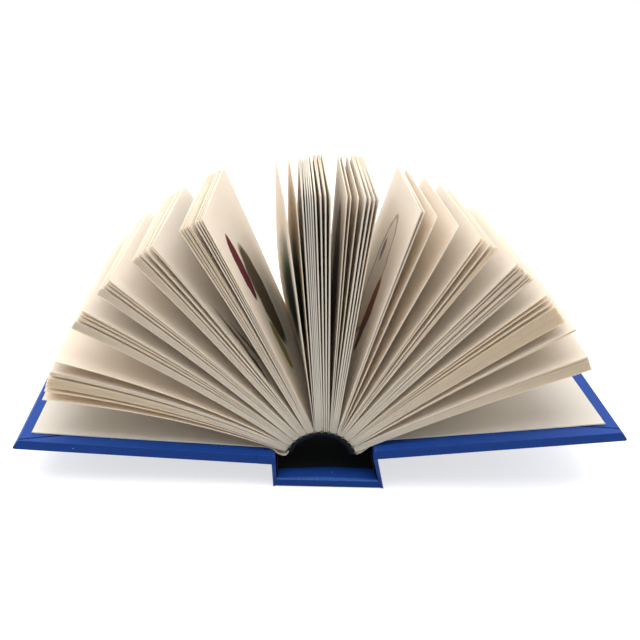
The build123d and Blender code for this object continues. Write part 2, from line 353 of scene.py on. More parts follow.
# Soft generic ovals printed on leaves, as (middle along, middle up, half length, half width, turn,
# softness of the edge, colour). Lengths are shares of the page and turns are degrees.
NO_PRINT = []
OVALS_ON_RIGHT_PAGE = [
    (0.52, 0.44, 0.24, 0.14, -3, 0.15, "#78694F"),
    (0.70, 0.26, 0.14, 0.07, 5, 0.10, "#7A2F38"),
    (0.34, 0.28, 0.12, 0.06, -6, 0.15, "#B7AD6A"),
]
STROKES_ON_LEFT_PAGE = [
    (0.50, 0.10, 0.15, 0.020, 6, 0.6, "#8F7F6E"),
    (0.44, 0.17, 0.12, 0.016, -5, 0.6, "#9C8C7A"),
    (0.36, 0.08, 0.10, 0.020, 10, 0.6, "#6E5D4E"),
]
DARK_LEAF_SHAPES = [
    (0.48, 0.50, 0.26, 0.36, 0, 0.6, "#64714A"),
    (0.44, 0.50, 0.18, 0.26, 0, 0.6, "#2E3123"),
]
TALL_SHAPE = [(0.55, 0.42, 0.34, 0.20, 0, 0.2, "#A99E92")]
SKETCH_SHAPES = [
    (0.60, 0.46, 0.26, 0.15, 3, 0.08, "#B3A799"),
    (0.60, 0.46, 0.245, 0.135, 3, 0.08, "#F7F2E7"),
    (0.46, 0.32, 0.18, 0.06, -4, 0.2, "#A06C58"),
    (0.70, 0.52, 0.05, 0.040, 0, 0.3, "#9A94A0"),
]
MARKS_ON_FRONT_ENDPAPER = [(0.75, 0.32, 0.005, 0.007, 0, 0.5, "#6E6049")]
MARKS_ON_BACK_ENDPAPER = [(0.64, 0.30, 0.004, 0.007, 0, 0.5, "#9A8D76")]


def paper(name, block, shapes=NO_PRINT, colour=None, through_share=0.48):
    """Uncoated book paper, machine-finished: matt, faintly cloudy where the fibres bunch, and thin
    enough that light comes through warm. Printed shapes have no outline."""
    material, tree = new_material(name)
    coordinates = add_node(tree, "ShaderNodeTexCoord")
    tone = add_node(tree, "ShaderNodeAttribute", {"attribute_name": "tone"})
    # Fibres bunch over about 2 mm.
    cloud = add_node(
        tree, "ShaderNodeTexNoise", inputs={"Vector": coordinates.outputs["Object"], "Scale": 1 / (2 * MM)}
    )
    shade = add_node(
        tree,
        "ShaderNodeMath",
        {"operation": "MULTIPLY_ADD"},
        {0: cloud.outputs["Fac"], 1: 0.05, 2: tone.outputs["Fac"]},
    )
    level = add_node(
        tree, "ShaderNodeMapRange", inputs={"Value": shade.outputs["Value"], "To Min": 0.95, "To Max": 1.0}
    )
    inked = add_node(
        tree,
        "ShaderNodeMix",
        {"data_type": "RGBA", "blend_type": "MULTIPLY"},
        {0: 1.0, 6: tuple(colour or block.paper), 7: level.outputs["Result"]},
    ).outputs[2]
    # Ink spreads unevenly into the paper, over a tenth of the page.
    spread = add_node(
        tree, "ShaderNodeTexNoise", inputs={"Vector": coordinates.outputs["UV"], "Scale": 9.0, "Detail": 3.0}
    )
    drift = add_node(
        tree,
        "ShaderNodeMix",
        {"data_type": "VECTOR"},
        {0: 0.06, 4: coordinates.outputs["UV"], 5: spread.outputs["Color"]},
    )
    for middle_along, middle_up, half_length, half_width, turn, softness, ink in shapes:
        inside = add_node(
            tree,
            "ShaderNodeMapping",
            {"vector_type": "TEXTURE"},
            {
                "Vector": drift.outputs[1],
                "Location": (middle_along, middle_up, 0.0),
                "Rotation": (0.0, 0.0, radians(turn)),
                "Scale": (half_length, half_width, 1.0),
            },
        )
        reach = add_node(
            tree, "ShaderNodeVectorMath", {"operation": "LENGTH"}, {0: inside.outputs["Vector"]}
        )
        soft = add_node(
            tree,
            "ShaderNodeMapRange",
            {"interpolation_type": "SMOOTHSTEP"},
            {"Value": reach.outputs["Value"], "From Min": 1 + softness / 3, "From Max": 1 - softness},
        )
        inked = add_node(
            tree,
            "ShaderNodeMix",
            {"data_type": "RGBA"},
            {0: soft.outputs["Result"], 6: inked, 7: linear(ink)},
        ).outputs[2]
    bump = add_node(
        tree,
        "ShaderNodeBump",
        inputs={"Strength": 0.15, "Distance": 0.03 * MM, "Height": cloud.outputs["Fac"]},
    )
    surface = add_node(
        tree,
        "ShaderNodeBsdfPrincipled",
        inputs={"Base Color": inked, "Roughness": 0.85, "Normal": bump.outputs["Normal"], "IOR": 1.4},
    )
    through = add_node(
        tree,
        "ShaderNodeMix",
        {"data_type": "RGBA", "blend_type": "MULTIPLY"},
        {0: 1.0, 6: inked, 7: tuple(block.glow)},
    )
    glow = add_node(tree, "ShaderNodeBsdfTranslucent", inputs={"Color": through.outputs[2]})
    both = add_node(
        tree,
        "ShaderNodeMixShader",
        inputs={0: through_share, 1: surface.outputs["BSDF"], 2: glow.outputs["BSDF"]},
    )
    add_node(tree, "ShaderNodeOutputMaterial", inputs={"Surface": both.outputs["Shader"]})
    return material


def seen_directly(tree):
    """1 for the rays that show a surface as background: straight, mirrored or through glass."""
    rays = add_node(tree, "ShaderNodeLightPath")
    seen = rays.outputs["Is Camera Ray"]
    for kind in ("Is Glossy Ray", "Is Transmission Ray"):
        either = add_node(tree, "ShaderNodeMath", {"operation": "MAXIMUM"}, {0: seen, 1: rays.outputs[kind]})
        seen = either.outputs["Value"]
    return seen


def matt_surface(name, colour, roughness, streak, grain_size, bump_height):
    """A matt fibrous surface. Its tone varies by a share of its colour (streak), and the fibres run
    along X, four times as long as a grain is wide."""
    material, tree = new_material(name)
    place = add_node(tree, "ShaderNodeTexCoord").outputs["Object"]
    stretched = add_node(
        tree, "ShaderNodeMapping", {"vector_type": "POINT"}, {"Vector": place, "Scale": (0.25, 1.0, 1.0)}
    )
    fibre = add_node(
        tree,
        "ShaderNodeTexNoise",
        inputs={"Vector": stretched.outputs["Vector"], "Scale": 1 / grain_size, "Detail": 4.0},
    )
    tone = add_node(
        tree,
        "ShaderNodeMapRange",
        inputs={
            "Value": fibre.outputs["Fac"],
            "From Min": 0.3,
            "From Max": 0.7,
            "To Min": 1 - streak,
            "To Max": 1 + streak,
        },
    )
    shade = add_node(
        tree,
        "ShaderNodeMix",
        {"data_type": "RGBA", "blend_type": "MULTIPLY"},
        {0: 1.0, 6: colour, 7: tone.outputs["Result"]},
    )
    bump = add_node(
        tree,
        "ShaderNodeBump",
        inputs={"Strength": 0.4, "Distance": bump_height, "Height": fibre.outputs["Fac"]},
    )
    surface = add_node(
        tree,
        "ShaderNodeBsdfPrincipled",
        inputs={
            "Base Color": shade.outputs[2],
            "Roughness": roughness,
            "Normal": bump.outputs["Normal"],
            "IOR": 1.4,
            "Specular IOR Level": 0.3,
        },
    )
    add_node(tree, "ShaderNodeOutputMaterial", inputs={"Surface": surface.outputs["BSDF"]})
    return material


# Making pieces


def new_piece(name, bm, materials, sharp=30):
    """Turns a bmesh into an object whose edges above an angle stay sharp."""
    old = bpy.data.objects.get(name)
    if old:
        bpy.data.objects.remove(old)
    for face in bm.faces:
        face.smooth = True
    for edge in bm.edges:
        edge.smooth = len(edge.link_faces) == 2 and edge.calc_face_angle(0.0) < radians(sharp)
    mesh = bpy.data.meshes.new(name)
    bm.to_mesh(mesh)
    bm.free()
    for material in materials:
        mesh.materials.append(material)
    piece = bpy.data.objects.new(name, mesh)
    bpy.context.scene.collection.objects.link(piece)
    return piece


def give_thickness(piece, thickness, rim=0):
    """Live thickness, half to each side of the sheet. rim is how many slots further on the finish of
    the cut edges is."""
    wall = piece.modifiers.new("Thickness", "SOLIDIFY")
    wall.thickness = thickness
    wall.offset = 0.0
    wall.material_offset_rim = rim
    return wall


def keep_flats_flat(piece):
    """Lets the large faces between rounded edges shade as flat."""
    flats = piece.modifiers.new("Flats", "WEIGHTED_NORMAL")
    flats.keep_sharp = True


def through_points(points, share):
    """Point at a share of a smooth line through points, evenly by their number."""
    place = min(max(share, 0.0), 1.0) * (len(points) - 1)
    index = min(int(place), len(points) - 2)
    ahead = place - index
    before = points[max(index - 1, 0)]
    start, end = points[index], points[index + 1]
    after = points[min(index + 2, len(points) - 1)]
    leave = (end - before) / 2
    arrive = (after - start) / 2
    square, cube = ahead ** 2, ahead ** 3
    return (
        start * (2 * cube - 3 * square + 1)
        + leave * (cube - 2 * square + ahead)
        + end * (3 * square - 2 * cube)
        + arrive * (cube - square)
    )


def sheet_grid(bm, steps, rows):
    """Adds a flat grid. Gives, for each of its vertices, the shares of the way along and across."""
    grid = bmesh.ops.create_grid(bm, x_segments=steps, y_segments=rows, size=0.5)
    return {vert: (vert.co.x + 0.5, vert.co.y + 0.5) for vert in grid["verts"]}


def lay_uv(faces, uv, shares):
    """Gives the faces of a sheet the shares of their vertices as their UV map."""
    for face in faces:
        for loop in face.loops:
            loop[uv].uv = shares[loop.vert]


def sheet_along(points, tails, steps, rows):
    """A sheet that follows (x, z) points in millimetres. tails is where its tail edge is along Y at
    each point, and its head edge mirrors that."""
    bm = bmesh.new()
    uv = bm.loops.layers.uv.new("sheet")
    shares = sheet_grid(bm, steps, rows)
    path = [Vector((x, 0, z)) for x, z in points]
    edges = [Vector((tail, -tail, 0)) for tail in tails]
    for vert, (along, across) in shares.items():
        tail, head, _ = through_points(edges, along)
        vert.co = through_points(path, along)
        vert.co.y = tail + (head - tail) * across
        vert.co *= MM
    lay_uv(bm.faces, uv, shares)
    return bm


def standing_box(width, height, thickness, left):
    """A box on Z = 0 that runs from left towards +X, half to each side of Y = 0."""
    bm = bmesh.new()
    bmesh.ops.create_cube(bm, size=1.0)
    bmesh.ops.scale(bm, vec=(width, height, thickness), verts=bm.verts)
    bmesh.ops.translate(bm, vec=(left + width / 2, 0, thickness / 2), verts=bm.verts)
    return bm


def edges_where(bm, passes):
    """The edges whose ends both pass a test of their place."""
    return [edge for edge in bm.edges if all(passes(vert.co) for vert in edge.verts)]


def round_edges(bm, edges, radius, segments, clamp_overlap=True):
    """Rounds edges with arcs."""
    bmesh.ops.bevel(
        bm,
        geom=edges,
        offset=radius,
        segments=segments,
        profile=0.5,
        affect="EDGES",
        material=-1,
        clamp_overlap=clamp_overlap,
    )


# Making the case


def hinge_axis(side):
    """Where the hinge between the spine and a cover is."""
    return HINGES[f"{SIDE_NAMES[side]}_cover_hinge"]


def wall_lean(side, case):
    """How far a joint wall leans outwards per height, from the spine's edge up to its hinge."""
    axis = hinge_axis(side)
    return (side * axis.x - case.spine_width / 2) / axis.z


def cover_bend(side, case):
    """Radius where a cover runs into its joint."""
    return case.front_bend if side == FRONT else case.back_bend


def cover_place(side, case):
    """Matrix from a cover's own frame (X to the fore-edge, Z up through the board) to its place."""
    tilt = case.front_tilt if side == FRONT else case.back_tilt
    return (
        Matrix.Translation(hinge_axis(side))
        @ Matrix.Rotation(-side * tilt, 4, "Y")
        @ Matrix.Translation((-side * case.wall, 0, case.clearance))
        @ Matrix.Diagonal((side, 1, 1, 1))
    )


def mark_rubbed_and_highlit_edges(bm, band_spread=2.6):
    """Marks the faces of rounded edges, where cloth is rubbed and a highlight is painted: the more,
    the further off the flats.
    """
    rubbed_and_highlit = bm.faces.layers.float.new("rubbed_and_highlit")
    for face in bm.faces:
        off_flat = 1 - max(abs(part) for part in face.normal)
        face[rubbed_and_highlit] = min(1.0, (band_spread * off_flat) ** 2)


def round_long_edges(bm, radius, height):
    """Rounds the edges that a folded sheet makes, and leaves the four upright corners sharp."""
    level, short, fold = 0.1 * MM, 2 * MM, radians(45)
    edges = []
    for edge in bm.edges:
        first, last = (vert.co for vert in edge.verts)
        crosswise = abs(first.y - last.y) < level
        upright = crosswise and abs(first.x - last.x) < short
        along_side = crosswise and abs(abs(first.y) - height / 2) < level
        along_height = abs(first.y - last.y) > height / 2
        if edge.calc_face_angle(0.0) > fold and (along_side or along_height) and not upright:
            edges.append(edge)
    round_edges(bm, edges, radius, segments=3)


def cut_flats(bm, point, direction):
    """Cuts the faces that look up through the inner side of a cover, along an upright plane."""
    bm.normal_update()
    faces = [face for face in bm.faces if face.normal.z > 0.95]
    # A dictionary keeps each part once, in the same order in each run.
    geometry = dict.fromkeys(faces)
    for face in faces:
        geometry.update(dict.fromkeys(face.verts))
        geometry.update(dict.fromkeys(face.edges))
    bmesh.ops.bisect_plane(bm, geom=list(geometry), dist=WELD, plane_co=point, plane_no=direction)


def press_mitre(bm, corner, inner, case):
    """Presses a seam into the turn-ins on the inner face, from a corner to under the endpaper, and marks
    its faces for painted shade.
    """
    along = (inner - corner).normalized()
    across = Vector((-along.y, along.x, 0))
    length = (inner - corner).length
    width, top = case.mitre_width, case.thickness
    # The seam also crosses the rounded edge outside its corner.
    outside = -2 * MM
    for offset in (-width / 2, 0, width / 2):
        cut_flats(bm, corner + across * offset, across)
    for reach in (length, length + MM):
        cut_flats(bm, corner + along * reach, along)
    for vert in bm.verts:
        away = vert.co - corner
        in_line = abs(away.dot(across)) < ON_PLANE
        if in_line and outside < away.dot(along) < length + 0.1 * MM and abs(vert.co.z - top) < 0.1 * MM:
            vert.co.z -= case.mitre_depth
    # The seam's faces get painted shade.
    seam = bm.faces.layers.float.get("seam") or bm.faces.layers.float.new("seam")
    for face in bm.faces:
        away = face.calc_center_median() - corner
        if abs(away.dot(across)) < width / 2 and outside < away.dot(along) < length and away.z > top / 2:
            face[seam] = 1.0


def press_crease(bm, case):
    """Presses a crease into the cloth across a cover, where its board ends."""
    place, depth, half_width = case.crease_place, case.crease_depth, 0.35 * MM
    for offset in (-half_width, 0.0, half_width):
        point = Vector((place + offset, 0, 0))
        geometry = list(bm.verts) + list(bm.edges) + list(bm.faces)
        bmesh.ops.bisect_plane(bm, geom=geometry, dist=WELD, plane_co=point, plane_no=(1, 0, 0))
    for vert in bm.verts:
        if abs(vert.co.x - place) < ON_PLANE:
            if vert.co.z > case.thickness / 2:
                vert.co.z -= depth
            if abs(vert.co.y) > case.height / 2 - case.edge_round:
                vert.co.y -= depth if vert.co.y > 0 else -depth


def cover_wrap(side, case, cloth):
    """One sheet of cloth round a cover board, turned in and mitred at its corners."""
    half_width, half_thickness = case.width / 2, case.thickness / 2
    bm = standing_box(case.width, case.height, case.thickness, 0)
    top_fore_edge = [vert for vert in bm.verts if vert.co.x > half_width and vert.co.z > half_thickness]
    bmesh.ops.translate(bm, vec=(-case.fore_edge_lean, 0, 0), verts=top_fore_edge)
    outer_edge = edges_where(bm, lambda place: place.x > half_width and place.z < half_thickness)
    round_edges(bm, outer_edge, case.fore_edge_round, segments=4, clamp_overlap=False)
    joint_edge = edges_where(bm, lambda place: place.x < MM and place.z > half_thickness)
    round_edges(bm, joint_edge, cover_bend(side, case), segments=6)
    bm.normal_update()
    round_long_edges(bm, case.edge_round, case.height)
    bm.normal_update()
    mark_rubbed_and_highlit_edges(bm)
    corner, inner = (Vector((*place, 0)) * MM for place in MITRES[side])
    for turn in (Vector((1, 1, 1)), Vector((1, -1, 1))):
        press_mitre(bm, corner * turn, inner * turn, case)
    if side == FRONT:
        press_crease(bm, case)
    bmesh.ops.transform(bm, matrix=cover_place(side, case), verts=bm.verts)
    bmesh.ops.recalc_face_normals(bm, faces=bm.faces)
    name = SIDE_NAMES[side]
    piece = new_piece(f"{name}_cover_wrap", bm, [cloth])
    keep_flats_flat(piece)
    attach(piece, f"{name}_cover")
    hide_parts(f"{name}_cover_cloth")


class BOOK_OT_covers(bpy.types.Operator):
    """Wraps both cover boards in cloth, with turned-in edges and mitred corners"""

    bl_idname = "book.covers"
    bl_label = "Covers"

    def execute(self, context):
        case = context.scene.book_case
        cloth = book_cloth(case)
        for side in (FRONT, BACK):
            cover_wrap(side, case, cloth)
        # Grey binder's board, pressed from waste fibre: matt and speckled.
        board = matt_surface(
            "binders_board_pressed",
            tuple(case.board),
            roughness=0.9,
            streak=0.15,
            grain_size=0.8 * MM,
            bump_height=0.05 * MM,
        )
        for name in ("front_board", "back_board", "spine_board"):
            node = frame["nodes"][name]
            node.data.materials.clear()
            node.data.materials.append(board)
        return {"FINISHED"}


def joint_sheet(side, case, cloth):
    """Cloth that stands between spine and cover, folded back inside itself at tail and head."""
    axis = hinge_axis(side)
    foot, lean = case.spine_width / 2, wall_lean(side, case)
    foot_height, top = 0.1 * MM, axis.z + 1.4 * MM
    # Depths of the sheet's middle behind the wall's outer face, before and after its fold.
    outside, inside = case.sheet / 2, case.sheet * 1.5 + 0.1 * MM
    end, bend, turned = case.height / 2 - case.sheet / 2 - 0.2 * MM, 0.35 * MM, 9 * MM
    folded = [
        Vector((inside, end - turned, 0)),
        Vector((inside, end - 2 * bend, 0)),
        Vector((inside, end - bend, 0)),
        Vector(((inside + outside) / 2, end - 0.2 * MM, 0)),
        Vector((outside, end - bend, 0)),
        Vector((outside, end - 2 * bend, 0)),
    ]
    straight = [Vector((outside, end * share, 0)) for share in (0.6, 0.2, -0.2, -0.6)]
    plan = folded + straight + [point * Vector((1, -1, 1)) for point in reversed(folded)]
    bm = bmesh.new()
    rubbed_and_highlit = bm.verts.layers.float.new("rubbed_and_highlit")
    for vert, (along, up) in sheet_grid(bm, steps=4 * (len(plan) - 1), rows=8).items():
        place = through_points(plan, along)
        layer = (place.x - outside) / (inside - outside)
        # The inner layer ends a little lower, and opens a little at its top.
        z = foot_height + (top - 0.6 * MM * layer - foot_height) * up
        depth = place.x + 0.25 * MM * up * layer
        vert.co = Vector((side * (foot + lean * z - depth), place.y, z))
        # The folded ends take half of the paler edge colour: rubbed wear and painted highlight.
        vert[rubbed_and_highlit] = 0.5 * (abs(vert.co.y) > end - bend)
    name = SIDE_NAMES[side]
    piece = new_piece(f"{name}_joint_cloth", bm, [cloth])
    give_thickness(piece, case.sheet)
    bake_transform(piece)
    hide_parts("spine_cloth")


def spine_wrap(case, cloth):
    """Cloth round the spine board, turned in at head and tail."""
    half = case.spine_width / 2
    width = 2 * (half - case.wall)
    bm = standing_box(width, case.height, case.thickness, -width / 2)
    for vert in bm.verts:
        if vert.co.z > case.thickness / 2:
            side = FRONT if vert.co.x < 0 else BACK
            vert.co.x += side * wall_lean(side, case) * case.thickness
    round_long_edges(bm, case.edge_round, case.height)
    crosswise = [edge for edge in bm.edges if abs(edge.verts[0].co.x - edge.verts[1].co.x) > half]
    bmesh.ops.subdivide_edges(bm, edges=crosswise, cuts=9, use_grid_fill=True)
    # The turn-ins make the inner face swell towards its middle.
    swell = 0.3 * MM
    for vert in bm.verts:
        if vert.co.z > case.thickness - 0.1 * MM:
            vert.co.z += swell * (1 - (vert.co.x / half) ** 2)
    bm.normal_update()
    mark_rubbed_and_highlit_edges(bm)
    bmesh.ops.recalc_face_normals(bm, faces=bm.faces)
    piece = new_piece("spine_wrap", bm, [cloth])
    keep_flats_flat(piece)
    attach(piece, "spine")
    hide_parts("spine_cloth")


def spine_inlay(case, lining):
    """Near-black sheet over the spine's floor and both joint walls: painted shade for the hollow inside
    the spine.
    """
    half = case.spine_width / MM / 2
    behind_wall = case.wall / MM + 0.75
    floor = case.thickness / MM + 0.2

    def on_wall(side, height):
        return side * (half + wall_lean(side, case) * height - behind_wall)

    front_top, back_top = (hinge_axis(side).z / MM + 0.5 for side in (FRONT, BACK))
    points = [
        (on_wall(FRONT, front_top), front_top),
        (on_wall(FRONT, 6), 6),
        (on_wall(FRONT, 4), floor + 0.5),
        (on_wall(FRONT, 4) + 0.3, floor + 0.1),
        (-10, floor + 0.2),
        (0, floor + 0.3),
        (9, floor + 0.2),
        (on_wall(BACK, 4) - 0.3, floor + 0.1),
        (on_wall(BACK, 4), floor + 0.5),
        (on_wall(BACK, 7), 7),
        (on_wall(BACK, back_top), back_top),
    ]
    tails = [-29.4, -29.4, -29.2, -24.7, -24.0, -23.2, -23.4, -23.7, -29.2, -29.4, -29.4]
    bm = sheet_along(points, tails, steps=40, rows=2)
    piece = new_piece("spine_inlay", bm, [lining])
    give_thickness(piece, 0.15 * MM)
    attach(piece, "spine")


class BOOK_OT_spine(bpy.types.Operator):
    """Makes the covered spine, its dark inlay and the cloth joints on both sides"""

    bl_idname = "book.spine"
    bl_label = "Spine and Joints"

    def execute(self, context):
        case = context.scene.book_case
        cloth = bpy.data.materials.get("book_cloth_filled") or book_cloth(case)
        # Near-black lining, as painted shade for the hollow inside the spine: matt, with faint long streaks
        # where it was rubbed on.
        lining = matt_surface(
            "inlay_painted_shade",
            tuple(case.lining),
            roughness=0.75,
            streak=0.5,
            grain_size=1.2 * MM,
            bump_height=0.05 * MM,
        )
        spine_wrap(case, cloth)
        spine_inlay(case, lining)
        for side in (FRONT, BACK):
            joint_sheet(side, case, cloth)
        return {"FINISHED"}


# Making the block of leaves


def arch_ends(block):
    """Angles off upright at which the arched back begins and ends, front first."""
    return block.arch_turn - block.arch_half_angle, block.arch_turn + block.arch_half_angle


def arch(block):
    """Centre and radius of the arched back, from the strip that is glued along it."""
    low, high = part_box("spine_lining")
    glue = 0.05 * MM
    first, last = arch_ends(block)
    outer = (high.x - low.x) / (sin(last) - sin(first))
    centre = Vector((high.x - outer * sin(last), 0, high.z - outer))
    return centre, outer + glue


def on_arch(centre, angle, radius):
    """Point at an angle off upright round the arch's centre."""
    return centre + Vector((sin(angle), 0, cos(angle))) * radius


def add_leaf(bm, layers, block, leaf):
    """One leaf from its fold to its fore-edge. Its head end is turned against its tail end."""
    uv, tone = layers
    # Twelve steps follow the bow, and two rows the twist: few faces, because there are over 200 leaves.
    shares = sheet_grid(bm, steps=12, rows=2)
    for vert, (along, up) in shares.items():
        root = on_arch(leaf["centre"], leaf["root_angle"], leaf["root_radius"])
        tip = on_arch(leaf["centre"], leaf["tip_angle"] + leaf["head_turn"] * up, leaf["tip_radius"])
        run = tip - root
        upwards = Vector((run.z, 0, -run.x)).normalized()
        # Paper ripples a little, neighbouring leaves nearly alike and each gathering in its own way.
        leaf_by_leaf = leaf["gathering"] * 3.7 + leaf["depth"] * 0.6
        ripple = noise.noise(Vector((along * 2.1, up * 1.4, leaf_by_leaf))) * 0.25 * MM
        bow = leaf["bow"] + leaf["head_bow"] * up ** 2 * (1.5 - along)
        rise = bow * 4 * along * (1 - along) + ripple * along
        vert.co = root + run * along + upwards * rise
        vert.co.y = block.height * (up - 0.5)
        vert[tone] = leaf["tone"]
    faces = {face for vert in shares for face in vert.link_faces}
    for face in faces:
        face.material_index = leaf["slot"]
    lay_uv(faces, uv, shares)


def sheaf_leaves(bundles, first_root, width, pitch):
    """Root angle (radians), tip angle and turn of the head end (degrees) of each leaf. The leaves of
    a sheaf cling together, and three or more of them loosen towards their head ends."""
    total = sum(count for count, _, _, _ in bundles)
    heads = [(first + turn, last + turn) for _, first, last, turn in bundles]
    # Leaves loosen by no more than 0.2 degrees, nor by half of the gap to the next sheaf.
    most, share_of_gap = 0.2, 0.45
    leaves = []
    for place, (count, first, last, turn) in enumerate(bundles):
        middle = first_root + width * (len(leaves) + count / 2) / total
        below = (heads[place][0] - heads[place - 1][1]) * share_of_gap if place else 0.0
        above = (heads[place + 1][0] - heads[place][1]) * share_of_gap if place + 1 < len(bundles) else 0.0
        for i in range(count):
            root = middle + (i + 0.5 - count / 2) * pitch
            share = i / (count - 1)
            loosened = min(above, most) * share - min(below, most) * (1 - share) if count > 2 else 0.0
            leaves.append((root, first + (last - first) * share, turn + loosened))
    return leaves


def gathering(number, first_root, width, materials, printed, block):
    """One sewn gathering of leaves. printed gives the first slot of a printed leaf by its place.
    Each leaf has three slots in a row: the side that faces the front cover, the cut edge, and the
    side that faces the back cover."""
    bow, head_bow, reach, bundles = FAN[number]
    centre, radius = arch(block)
    # Sewn leaves lie a little more than their thickness apart.
    leaves = sheaf_leaves(bundles, first_root, width, 1.15 * block.leaf / radius)
    chance = random.Random(number)
    bm = bmesh.new()
    layers = (bm.loops.layers.uv.new("leaf"), bm.verts.layers.float.new("tone"))
    for place, (root_angle, tip_angle, head_turn) in enumerate(leaves):
        share = place / len(leaves)
        across = 2 * (place + 0.5) / len(leaves) - 1
        leaf = {
            "gathering": number,
            "depth": share,
            "centre": centre,
            "root_angle": root_angle,
            "root_radius": radius + 0.05 * MM + block.fold_round * across ** 4,
            "tip_angle": radians(tip_angle),
            "tip_radius": radius + block.leaf_width + (reach + chance.uniform(-0.2, 0.0)) * MM,
            "head_turn": radians(head_turn),
            "bow": bow * MM,
            "head_bow": head_bow * (1 - share) ** 3 * MM,
            "tone": chance.uniform(0.0, 1.0),
            "slot": printed.get(place, 0),
        }
        add_leaf(bm, layers, block, leaf)
    piece = new_piece(f"gathering_{number + 1:02d}", bm, materials)
    thickness = give_thickness(piece, block.leaf, rim=1)
    thickness.material_offset = 2
    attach(piece, "spine")
    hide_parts("pages")


class BOOK_OT_leaves(bpy.types.Operator):
    """Fans the sewn gatherings of leaves out from the arched back"""

    bl_idname = "book.leaves"
    bl_label = "Leaves"

    def execute(self, context):
        block = context.scene.book_block
        plain = paper("book_paper_uncoated", block)
        # Guillotined edges: each leaf's cut fibres, a touch greyer than its face.
        edge = paper("book_paper_trimmed_edge", block, colour=block.edge, through_share=EDGE_THROUGH)
        # Printed pages by gathering and leaf, and the cover that each faces.
        prints = {
            4: {19: (OVALS_ON_RIGHT_PAGE, BACK)},
            3: {19: (STROKES_ON_LEFT_PAGE, BACK)},
            5: {place: (DARK_LEAF_SHAPES, FRONT) for place in (0, 2, 4)},
            7: {0: (TALL_SHAPE, FRONT)},
            8: {0: (SKETCH_SHAPES, FRONT)},
        }
        first, last = arch_ends(block)
        width = (last - first) / len(FAN)
        for number in range(len(FAN)):
            materials = [plain, edge, plain]
            printed = {}
            for place, (shapes, facing) in prints.get(number, {}).items():
                printed[place] = len(materials)
                page = paper(f"book_paper_printed_{number + 1}_{place}", block, shapes)
                materials += [page, edge, plain] if facing == FRONT else [plain, edge, page]
            gathering(number, first + number * width, width, materials, printed, block)
        return {"FINISHED"}


def endpaper(side, case, block, materials):
    """Endpaper leaf glued inside a cover. Its tail edge has come loose in places."""
    tail, head, fore_tail, fore_head = ENDPAPERS[side]
    joint_edge = cover_bend(side, case) / MM + 0.2
    lie = (case.thickness + block.endpaper / 2) / MM + 0.02
    loose = 1.5
    bm = bmesh.new()
    uv = bm.loops.layers.uv.new("sheet")
    shares = sheet_grid(bm, steps=36, rows=30)
    for vert, (along, up) in shares.items():
        # A third of the rows lie in the strip that has come loose.
        if up < 1 / 3:
            y = tail + loose * up * 3
        else:
            y = tail + loose + (head - tail - loose) * (up * 3 - 1) / 2
        fore_edge = fore_tail + (fore_head - fore_tail) * (y - tail) / (head - tail)
        x = joint_edge + (fore_edge - joint_edge) * along
        lifted = max(0.0, 1 - (y - tail) / loose) ** 2
        # It lifts by 0.15 mm, and by up to 0.25 mm more in waves of some 16 mm.
        lift = 0.15 + 0.25 * max(0.0, noise.noise(Vector((x / 16, side * 5.0, 0.3))))
        vert.co = Vector((x, y, lie + lift * lifted)) * MM
    lay_uv(bm.faces, uv, shares)
    bmesh.ops.transform(bm, matrix=cover_place(side, case), verts=bm.verts)
    name = SIDE_NAMES[side]
    piece = new_piece(f"{name}_endpaper", bm, materials)
    give_thickness(piece, block.endpaper, rim=1)
    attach(piece, f"{name}_cover")
    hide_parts(f"{name}_pastedown")


def hinge_leaf(side, case, block, material):
    """Endpaper and mull that run from the inside of a cover down into the joint and up to the block."""
    centre, radius = arch(block)
    place = cover_place(side, case)
    shoulder = block.arch_turn + side * block.arch_half_angle
    foot = on_arch(centre, shoulder, radius) / MM
    lie = case.thickness / MM + 0.35

    def over_cover(x, above=0.0):
        point = place @ (Vector((x, 0, lie + above)) * MM) / MM
        return point.x, point.z

    # From over the cover, through the joint, to the block's shoulder. On the front side the leaf sags
    # and comes up again under the shoulder.
    if side == FRONT:
        points = [
            over_cover(5.5),
            over_cover(2.9, 0.1),
            over_cover(0.9, -0.2),
            (foot.x - 2.8, foot.z - 0.6),
            (foot.x - 1.0, foot.z - 1.25),
            (foot.x + 0.1, foot.z - 1.1),
            (foot.x + 0.65, foot.z - 0.2),
            (foot.x + 0.75, foot.z + 0.3),
        ]
        tails = [-25.4, -25.8, -26.3, -26.8, -27, -27, -27, -27]
    else:
        points = [
            over_cover(5.5),
            over_cover(2.6, 0.1),
            over_cover(0.6, 0.15),
            (foot.x + 3.4, foot.z + 1.0),
            (foot.x + 1.5, foot.z - 0.1),
            (foot.x + 0.2, foot.z - 0.6),
        ]
        tails = [-24.5, -25, -25.6, -26.4, -27, -27]
    bm = sheet_along(points, tails, steps=24, rows=6)
    name = SIDE_NAMES[side]
    piece = new_piece(f"{name}_hinge_leaf", bm, [material])
    give_thickness(piece, 0.25 * MM)
    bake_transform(piece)
    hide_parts(f"{name}_hinge_paper")


class BOOK_OT_endpapers(bpy.types.Operator):
    """Makes the endpapers inside the covers and the paper hinges that carry the leaves"""

    bl_idname = "book.endpapers"
    bl_label = "Endpapers"

    def execute(self, context):
        case, block = context.scene.book_case, context.scene.book_block
        hinge = paper("endpaper_uncoated", block)
        edge = paper("endpaper_trimmed_edge", block, colour=block.edge, through_share=EDGE_THROUGH)
        marks = {FRONT: MARKS_ON_FRONT_ENDPAPER, BACK: MARKS_ON_BACK_ENDPAPER}
        for side in (FRONT, BACK):
            glued = paper(f"endpaper_uncoated_{SIDE_NAMES[side]}", block, marks[side])
            endpaper(side, case, block, [glued, edge])
            hinge_leaf(side, case, block, hinge)
        return {"FINISHED"}


